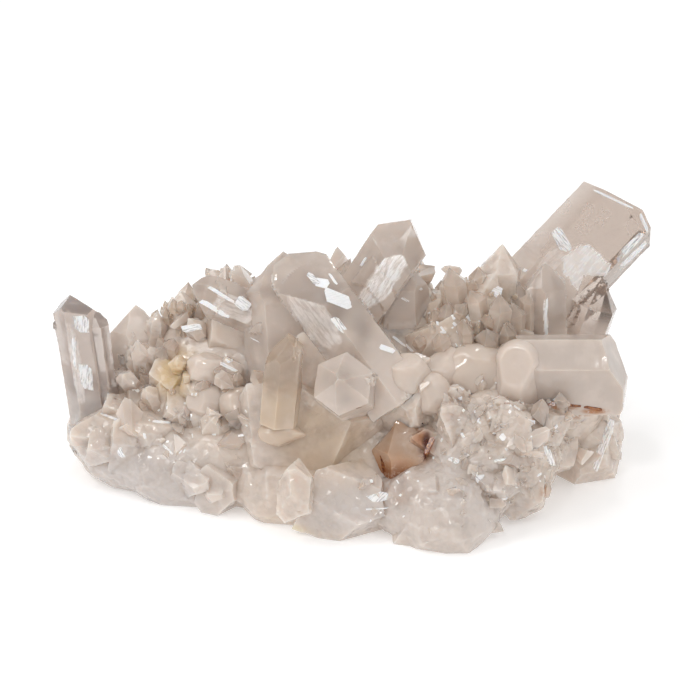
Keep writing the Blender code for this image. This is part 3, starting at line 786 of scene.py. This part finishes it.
def frost_and_highlight_on(patches, member, place, facing):
    """How much frosting a crystal has at a place; over 1 it is a plain white painted highlight."""
    amount = 0
    for middle, (half_along, half_across), way, strength in patches:
        way = Vector(way).normalized()
        if facing.dot(way) > 0.8:
            off = place - Vector(middle)
            along = abs(off.dot(member.axis)) / half_along
            across = abs(off.dot(member.axis.cross(way).normalized())) / half_across
            away = max(along, across, (along + across) / 1.5) + PATCH_UNEVEN * noise.noise(place / 1.5)
            amount = max(amount, strength * soft_step((PATCH_START - away) / PATCH_FADE))
    return amount


class QUARTZ_OT_crystals(bpy.types.Operator):
    """Dress the large crystals that stand in the base"""

    bl_idname = "quartz.crystals"
    bl_label = "Large crystals"

    def execute(self, context):
        ground = packed(BASE)
        base = BVHTree.FromBMesh(ground)
        ground.free()
        for node, rows in CRYSTALS.items():
            slot, look, *facts = LOOKS[node]
            look = crystal_finish(look + "_quartz_look", *facts)
            self.dress(node, [Member(*row) for row in rows], base, look, slot)
        return {"FINISHED"}

    def dress(self, node, members, base, look, slot):
        patches = [[row[2:] for row in FROST_AND_HIGHLIGHTS if row[:2] == (node, k)] for k in range(len(members))]
        made = crisp_skin(node + "_dressed", packed(node), sizes().crystal_cell)
        mesh = made.data
        places, out = corners_of(mesh), corners_of(mesh, "normal")
        edge = ridges(mesh, 3, 0.12)
        milk, frost, grown = [], [], []
        for i, (place, normal) in enumerate(zip(places / MM, out)):
            at, facing = Vector(place), Vector(normal)
            own = min(range(len(members)), key=lambda k: members[k].distance(at))
            member = members[own]
            here = member.grown(at)
            grown.append(here)
            across = 1 - abs(facing.dot(member.axis))
            wave = noise.noise(Vector((here[2] * 1.6, 0, facing.x * 3)))
            wave += 0.6 * noise.noise(Vector((here[2] * 3.9, facing.y * 3, 5)))
            rise = wave * across * across * sizes().growth_line
            rise += noise.noise(at / 5) * 0.08 * MM
            worn = max(0, edge[i] - 0.3) * max(0, noise.noise(at / 1.7) + 0.25)
            rise -= worn * sizes().edge_wear
            nearest = base.find_nearest(at * MM)
            above = math.copysign(nearest[3] / MM, (at * MM - nearest[0]).dot(nearest[1]))
            crossing = 1 - soft_step((nearest[1].dot(facing) - 0.2) / 0.5)
            swell = sizes().seat * soft_step(1 - above / 2) * crossing * (node not in UNSEATED)
            places[i] += normal * (rise + swell)
            level = member.rise * (0.8 + 0.5 * noise.noise(at / 6))
            milk.append(1 - soft_step(here[2] / member.length / max(level, 0.05)))
            frost.append(frost_and_highlight_on(patches[own], member, at, facing))
        put_corners(mesh, places)
        paint(mesh, milk=milk, frost=frost, grown=grown)
        finish_surface(made, CRYSTAL_CREASE)
        take(made, look, slot, node)


def small_crystal(dice, foot, axis, width, length):
    """The corners, faces and milk of one small crystal with an uneven tip."""
    front = axis.orthogonal().normalized()
    front.rotate(Matrix.Rotation(dice.uniform(0, math.pi), 3, axis))
    side = axis.cross(front)
    half = width / 2
    flat = dice.uniform(0.6, 1)
    tip_height = half * dice.uniform(1, 1.35)
    shift = (front * dice.uniform(-0.35, 0.35) + side * dice.uniform(-0.35, 0.35)) * half
    lower, upper = [], []
    for i in range(SIDES):
        turn = math.tau * i / SIDES
        arm = (front * math.cos(turn) + side * math.sin(turn) * flat) * half
        lower.append(foot + arm)
        upper.append(foot + arm + axis * (length - tip_height * dice.uniform(0.75, 1.25)))
    corners = [*lower, *upper, foot + shift + axis * length]
    faces = [tuple(reversed(range(SIDES)))]
    for i in range(SIDES):
        j = (i + 1) % SIDES
        faces.append((i, j, SIDES + j, SIDES + i))
        faces.append((SIDES + i, SIDES + j, 2 * SIDES))
    grown = [tuple((c - foot).dot(way) / MM for way in (side, front, axis)) for c in corners]
    return corners, faces, [1] * SIDES + [0.35] * SIDES + [0], grown


def scattered(tree, middle, reach, count, dice):
    """Places on a surface around a point, with the way that each one faces."""
    found = []
    for _ in range(count):
        start = Vector(middle) + any_way(dice) * reach * dice.random() ** 0.5
        place, normal, _, _ = tree.find_nearest(start * MM)
        bare = any((place / MM - Vector(spot)).length < size for spot, size in BARE)
        if place.z > FOOT * MM and not bare:
            found.append((place, normal))
    return found


class Growth:
    """Many small closed shapes, gathered into one piece."""

    def __init__(self, warm=0):
        self.corners, self.faces, self.milk, self.frost, self.grown = [], [], [], [], []
        self.warm = warm

    def add(self, corners, faces, milk, grown, frost=0):
        start = len(self.corners)
        self.corners += corners
        self.faces += [tuple(start + k for k in face) for face in faces]
        self.milk += milk
        self.frost += [frost] * len(corners)
        self.grown += grown

    def made(self, name, look, slot):
        mesh = bpy.data.meshes.new(name)
        mesh.from_pydata([(c[0], c[1], max(c[2], LOWEST)) for c in self.corners], [], self.faces)
        mesh.validate()
        warm = [self.warm] * len(self.milk)
        paint(mesh, milk=self.milk, frost=self.frost, warm=warm, grown=self.grown)
        take(add_object(name, mesh), look, slot)


def base_tree(context):
    """The dressed base's surface, for finding places on it."""
    return BVHTree.FromObject(bpy.data.objects["milky_base"], context.evaluated_depsgraph_get())


def any_way(dice):
    return Vector((dice.gauss(0, 1), dice.gauss(0, 1), dice.gauss(0, 1))).normalized()


def chip_shape(dice):
    """A convex splinter about 1 across, bounded by flat breaks: its corners and faces."""
    bm = bmesh.new()
    bmesh.ops.create_cube(bm, size=2)
    for _ in range(CHIP_FACES):
        way = any_way(dice)
        everything = bm.verts[:] + bm.edges[:] + bm.faces[:]
        place = way * dice.uniform(0.32, 0.55)
        cut = bmesh.ops.bisect_plane(
            bm, geom=everything, dist=1e-5, plane_co=place, plane_no=way, clear_outer=True
        )
        rim = [part for part in cut["geom_cut"] if isinstance(part, bmesh.types.BMEdge)]
        if rim:
            bmesh.ops.edgeloop_fill(bm, edges=rim)
    bmesh.ops.recalc_face_normals(bm, faces=bm.faces)
    bm.verts.index_update()
    shape = [vert.co.copy() for vert in bm.verts], [tuple(v.index for v in face.verts) for face in bm.faces]
    bm.free()
    return shape


class QUARTZ_OT_chips(bpy.types.Operator):
    """Scatter broken quartz over the base"""

    bl_idname = "quartz.chips"
    bl_label = "Broken quartz"

    def execute(self, context):
        dice = random.Random(4)
        shapes = [chip_shape(dice) for _ in range(CHIP_SHAPES)]
        look = crystal_finish("broken_quartz_look", 0.65, 22)
        tree = base_tree(context)
        for number, (middle, reach, count, (least, greatest), seed) in enumerate(CHIPS, 1):
            dice = random.Random(seed)
            growth = Growth()
            for place, normal in scattered(tree, middle, reach, count, dice):
                size = (least + (greatest - least) * dice.random() ** 2) * MM
                turn = Matrix.Rotation(dice.uniform(0, math.tau), 3, any_way(dice))
                scale = Matrix.Diagonal([size * dice.uniform(0.7, 1.3) for _ in range(3)])
                centre = place - normal * size * dice.uniform(*CHIP_SINK)
                corners, faces = dice.choice(shapes)
                moved = [centre + turn @ (scale @ corner) for corner in corners]
                depth = [min(1, max(0, 0.5 - (c - place).dot(normal) / size)) for c in moved]
                # A painted glint: the chip is coloured plain white.
                glint = GLINT if dice.random() < GLINT_SHARE and size < GLINT_SIZE else 0
                growth.add(moved, faces, depth, [tuple((c - place) / MM) for c in moved], glint)
            growth.made(f"broken_quartz_{number}", look, "milky_quartz")
        for number, row in enumerate(LUMPS, 1):
            self.lump(f"quartz_lump_{number}", look, *row)
        return {"FINISHED"}

    def lump(self, name, look, middle, halves, seed, warm, sharpness):
        """A rounded lump with worn flats."""
        dice = random.Random(seed)
        flats = [(any_way(dice), dice.uniform(0.78, 1.1)) for _ in range(LUMP_PLANES)]
        bm = bmesh.new()
        bmesh.ops.create_icosphere(bm, subdivisions=5, radius=1)
        for vert in bm.verts:
            way = vert.co.normalized()
            total = sum((max(0, way.dot(flat)) / height) ** sharpness for flat, height in flats)
            reach = 1 / max(total, 0.5) ** (1 / sharpness)
            reach += 0.02 * noise.noise(way * 2.5 + Vector((seed, 0, 0))) + 0.008 * noise.noise(way * 9)
            vert.co = (Vector(middle) + way * reach * Vector(halves)) * MM
        mesh = bpy.data.meshes.new(name)
        bm.to_mesh(mesh)
        bm.free()
        paint(mesh, milk=[0.9] * len(mesh.vertices), warm=[warm] * len(mesh.vertices))
        mesh.shade_smooth()
        take(add_object(name, mesh), look, "milky_quartz")


class QUARTZ_OT_druse(bpy.types.Operator):
    """Grow patches of small crystals on the base"""

    bl_idname = "quartz.druse"
    bl_label = "Druse"

    def execute(self, context):
        look = crystal_finish("small_crystal_look", 0.78, 20, roughness=0.02)
        tree = base_tree(context)
        for number, row in enumerate(SPROUTS, 1):
            self.patch(f"druse_patch_{number}", tree, look, *row)
        dice = random.Random(35)
        growth = Growth(0.3)
        for foot, tip, width in UPRIGHTS:
            way = Vector(tip) - Vector(foot)
            aim = (way.normalized() + any_way(dice) * 0.14).normalized()
            growth.add(*small_crystal(dice, Vector(foot) * MM, aim, width * MM, way.length * MM))
        growth.made("upright_druse", look, "clear_quartz")
        return {"FINISHED"}

    def patch(self, name, tree, look, middle, reach, count, widths, lengths, aim, stray, warm, seed):
        dice = random.Random(seed)
        growth = Growth(warm)
        for place, normal in scattered(tree, middle, reach, count, dice):
            axis = (Vector(aim) + normal * 0.5 + any_way(dice) * stray).normalized()
            if axis.dot(normal) < 0.15:
                axis = (axis + normal).normalized()
            share = dice.random() ** 1.8
            width = widths[0] + (widths[1] - widths[0]) * share
            length = lengths[0] + (lengths[1] - lengths[0]) * share * dice.uniform(0.7, 1)
            foot = place - axis * width * 0.35 * MM
            growth.add(*small_crystal(dice, foot, axis, width * MM, length * MM))
        growth.made(name, look, "clear_quartz")


class QUARTZ_OT_facets(bpy.types.Operator):
    """Set flat facets painted white as highlights, and rust stains, on the crystals and the base"""

    bl_idname = "quartz.facets"
    bl_label = "Bright facets"

    def execute(self, context):
        skin = bmesh.new()
        for name in ["milky_base", *(node + "_dressed" for node in CRYSTALS)]:
            skin.from_mesh(bpy.data.objects[name].data)
        tree = BVHTree.FromBMesh(skin)
        skin.free()
        highlights = PAINTED_HIGHLIGHTS + self.glints(base_tree(context))
        white = plate_finish("bright_facet_look", (tint("frost"), WHITE))
        rust = plate_finish("rust_stain_look", (tint("rust_dark"), tint("rust")))
        self.plates("bright_facets", highlights, tree, white, "clear_quartz")
        self.plates("rust_stains", STAINS, tree, rust, "rust_stained_quartz")
        return {"FINISHED"}

    def glints(self, tree):
        """Rows for small painted glints scattered over the base."""
        dice = random.Random(62)
        rows = []
        for middle, reach, count in GLINTS:
            for place, normal in scattered(tree, middle, reach, count, dice):
                along = normal.cross(any_way(dice)).normalized()
                width, length = dice.uniform(0.15, 0.45), dice.uniform(0.3, 0.9)
                rows.append((place / MM, along * length, normal.cross(along) * width, dice.uniform(0.5, 1)))
        return rows

    def plates(self, name, rows, tree, look, slot):
        dice = random.Random(61)
        growth = Growth()
        for middle, edge, other, amount in rows:
            out = Vector(edge).cross(Vector(other)).normalized()
            out *= -1 if out.dot(SHOW_SIDE) < 0 else 1
            start = (Vector(middle) + out * PLATE_SEARCH) * MM
            place, facing, _, _ = tree.ray_cast(start, -out, 2 * PLATE_SEARCH * MM)
            if place and facing.dot(out) > PLATE_FACING:
                turn = out.rotation_difference(facing)
                self.plate(growth, dice, place, turn @ Vector(edge), turn @ Vector(other), facing, amount)
        growth.made(name, look, slot)

    def plate(self, growth, dice, place, edge, other, facing, amount):
        """A thin plate with an uneven outline, sunk in the surface."""
        outline = [(u * dice.uniform(0.8, 1.05), v * dice.uniform(0.8, 1.05)) for u, v in PLATE_OUTLINE]
        corners = []
        for height, share in PLATE_LAYERS:
            middle = place + facing * height * MM
            corners += [middle + (edge * u + other * v) * share * MM for u, v in outline]
        count = len(outline)
        if edge.cross(other).dot(facing) < 0:
            corners = [corners[k + (count - 1 - i)] for k in range(0, 3 * count, count) for i in range(count)]
        faces = [tuple(reversed(range(count))), tuple(range(2 * count, 3 * count))]
        for k in (0, count):
            for i in range(count):
                j = (i + 1) % count
                faces.append((k + i, k + j, k + count + j, k + count + i))
        ways = edge.normalized(), Vector(), other.normalized()
        grown = [tuple((c - place).dot(way) / MM for way in ways) for c in corners]
        growth.add(corners, faces, [0] * len(corners), grown, amount)


class QUARTZ_OT_stage(bpy.types.Operator):
    """Set the floor, the light and the camera"""

    bl_idname = "quartz.stage"
    bl_label = "Stage"

    def execute(self, context):
        scene = context.scene
        scene.view_settings.view_transform = "Standard"
        self.floor()
        self.sky(scene)
        scene.cycles.max_bounces = scene.cycles.transmission_bounces = BOUNCES
        self.lamp("key_light", *KEY_LAMP)
        for number, place in enumerate(SPARK_PLACES, 1):
            self.lamp(f"spark_light_{number}", place, SPARK_SIZE, SPARK_POWER)
        self.camera(scene)
        return {"FINISHED"}

    def floor(self):
        mesh = bpy.data.meshes.new("floor")
        corners = [(u * FLOOR_HALF, v * FLOOR_HALF, 0) for u, v in ((-1, -1), (1, -1), (1, 1), (-1, 1))]
        mesh.from_pydata(corners, [], [(0, 1, 2, 3)])
        f = Finish("pale_floor")
        tone = f.blend(f.grain(f.place(), 300, 2), *FLOOR_TONES)
        glow = {"Emission Color": tone, "Emission Strength": FLOOR_GLOW}
        inputs = {"Base Color": tone, "Roughness": 0.9, **glow}
        mesh.materials.append(f.done(f.node("BsdfPrincipled", None, inputs)))
        add_object("floor", mesh)

    def sky(self, scene):
        world = bpy.data.worlds.new("studio")
        scene.world = world
        world.use_nodes = True
        tree = world.node_tree
        way = tree.nodes.new("ShaderNodeTexCoord")
        split = tree.nodes.new("ShaderNodeSeparateXYZ")
        ramp = tree.nodes.new("ShaderNodeValToRGB")
        stops = ramp.color_ramp.elements
        while len(stops) < len(SKY):
            stops.new(1)
        for stop, (height, tone) in zip(stops, SKY):
            stop.position, stop.color = height, (tone, tone, tone, 1)
        tree.links.new(way.outputs["Generated"], split.inputs[0])
        tree.links.new(split.outputs["Z"], ramp.inputs[0])
        backdrop = tree.nodes["Background"]
        tree.links.new(ramp.outputs[0], backdrop.inputs["Color"])
        backdrop.inputs["Strength"].default_value = SKY_STRENGTH

    def lamp(self, name, place, size, power):
        light = bpy.data.lights.new(name, "AREA")
        light.shape, light.size, light.energy = "SQUARE", size, power
        made = add_object(name, light)
        made.location = place
        made.rotation_euler = (LAMP_AIM - Vector(place)).to_track_quat("-Z", "Y").to_euler()

    def camera(self, scene):
        lens = bpy.data.cameras.new("camera")
        lens.lens = FOCAL_LENGTH
        lens.clip_start, lens.clip_end = 0.01, 10
        made = add_object("camera", lens)
        made.location = (CAMERA_TARGET + CAMERA_AWAY) * MM
        made.rotation_euler = (-CAMERA_AWAY).to_track_quat("-Z", "Y").to_euler()
        scene.camera = made


class QUARTZ_PT_panel(bpy.types.Panel):
    bl_label = "Quartz Cluster"
    bl_idname = "QUARTZ_PT_panel"
    bl_space_type = "VIEW_3D"
    bl_region_type = "UI"
    bl_category = "Quartz"

    def draw(self, context):
        for step in STEPS:
            self.layout.operator(step.bl_idname)
        for group in (context.scene.quartz_sizes, context.scene.quartz_colours):
            box = self.layout.box()
            for name in type(group).__annotations__:
                box.prop(group, name)


STEPS = (QUARTZ_OT_base, QUARTZ_OT_crystals, QUARTZ_OT_chips)
STEPS += (QUARTZ_OT_druse, QUARTZ_OT_facets, QUARTZ_OT_stage)
CLASSES = (QuartzSizes, QuartzColours, *STEPS, QUARTZ_PT_panel)


def register():
    for each in CLASSES:
        bpy.utils.register_class(each)
    bpy.types.Scene.quartz_sizes = PointerProperty(type=QuartzSizes)
    bpy.types.Scene.quartz_colours = PointerProperty(type=QuartzColours)


def unregister():
    del bpy.types.Scene.quartz_colours
    del bpy.types.Scene.quartz_sizes
    for each in reversed(CLASSES):
        bpy.utils.unregister_class(each)


def main():
    register()
    bpy.ops.quartz.base()
    bpy.ops.quartz.crystals()
    bpy.ops.quartz.chips()
    bpy.ops.quartz.druse()
    bpy.ops.quartz.facets()
    bpy.ops.quartz.stage()


if __name__ == "__main__":
    main()
